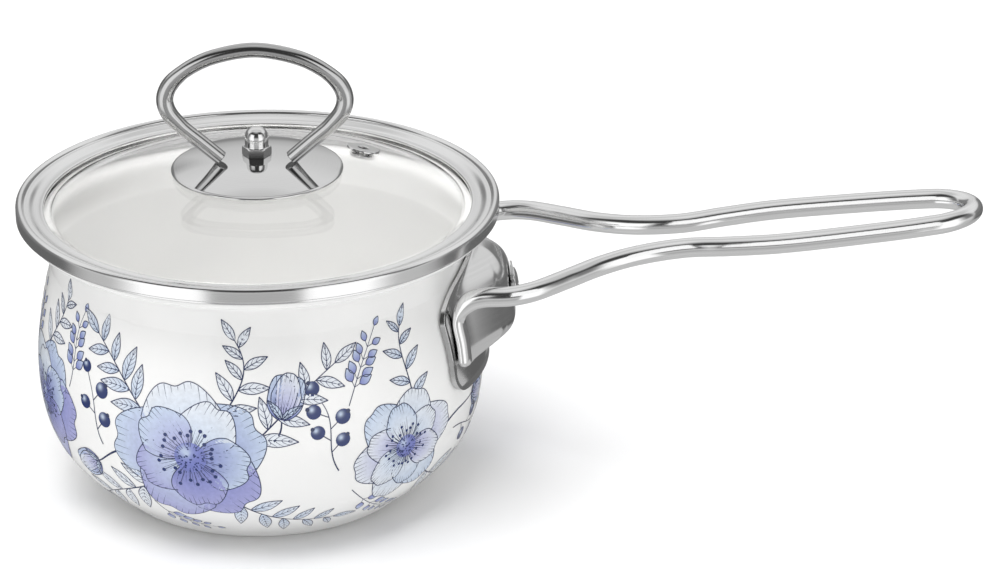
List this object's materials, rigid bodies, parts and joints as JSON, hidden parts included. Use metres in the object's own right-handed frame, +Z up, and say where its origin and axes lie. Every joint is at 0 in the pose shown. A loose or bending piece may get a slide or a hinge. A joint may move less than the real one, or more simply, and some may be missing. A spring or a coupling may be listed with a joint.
{
  "type": "enamel saucepan",
  "caption": "Bellied enamelled steel saucepan with a bent wire loop handle on a bolted bracket, and a domed glass lid with a steel band, rod handle and steam vent.",
  "frame": {"origin": "middle of the flat base, on the pot's axis", "axes": "+Z up along the pot's axis, +X along the long handle"},
  "size_m": [0.3408, 0.17, 0.1664],
  "materials": {
    "enamel": "gloss white enamel with a blue floral print",
    "polished_steel": "mirror polished stainless steel",
    "satin_steel": "satin drawn stainless steel",
    "lid_glass": "clear tempered glass",
    "silicone": "translucent silicone"
  },
  "bodies": {
    "pot": {"pot_body": "enamel", "pot_rim_trim": "polished_steel", "mounting_ear": "satin_steel", "ear_nut": "satin_steel", "handle_bracket": "polished_steel", "bracket_washer": "polished_steel", "bracket_screw": "polished_steel", "long_handle": "satin_steel"},
    "lid": {"lid_glass": "lid_glass", "lid_band": "satin_steel", "lid_handle_plate": "polished_steel", "lid_handle": "satin_steel", "cap_nut": "polished_steel", "lid_bolt": "polished_steel", "upper_gasket": "silicone", "lower_gasket": "silicone", "lower_washer": "polished_steel", "vent_eyelet": "polished_steel"}
  },
  "joints": [
    {"name": "lid_lift", "type": "slide", "parent": "pot", "child": "lid", "axis": [0, 0, 1], "range_m": [0, 0.12]}
  ]
}
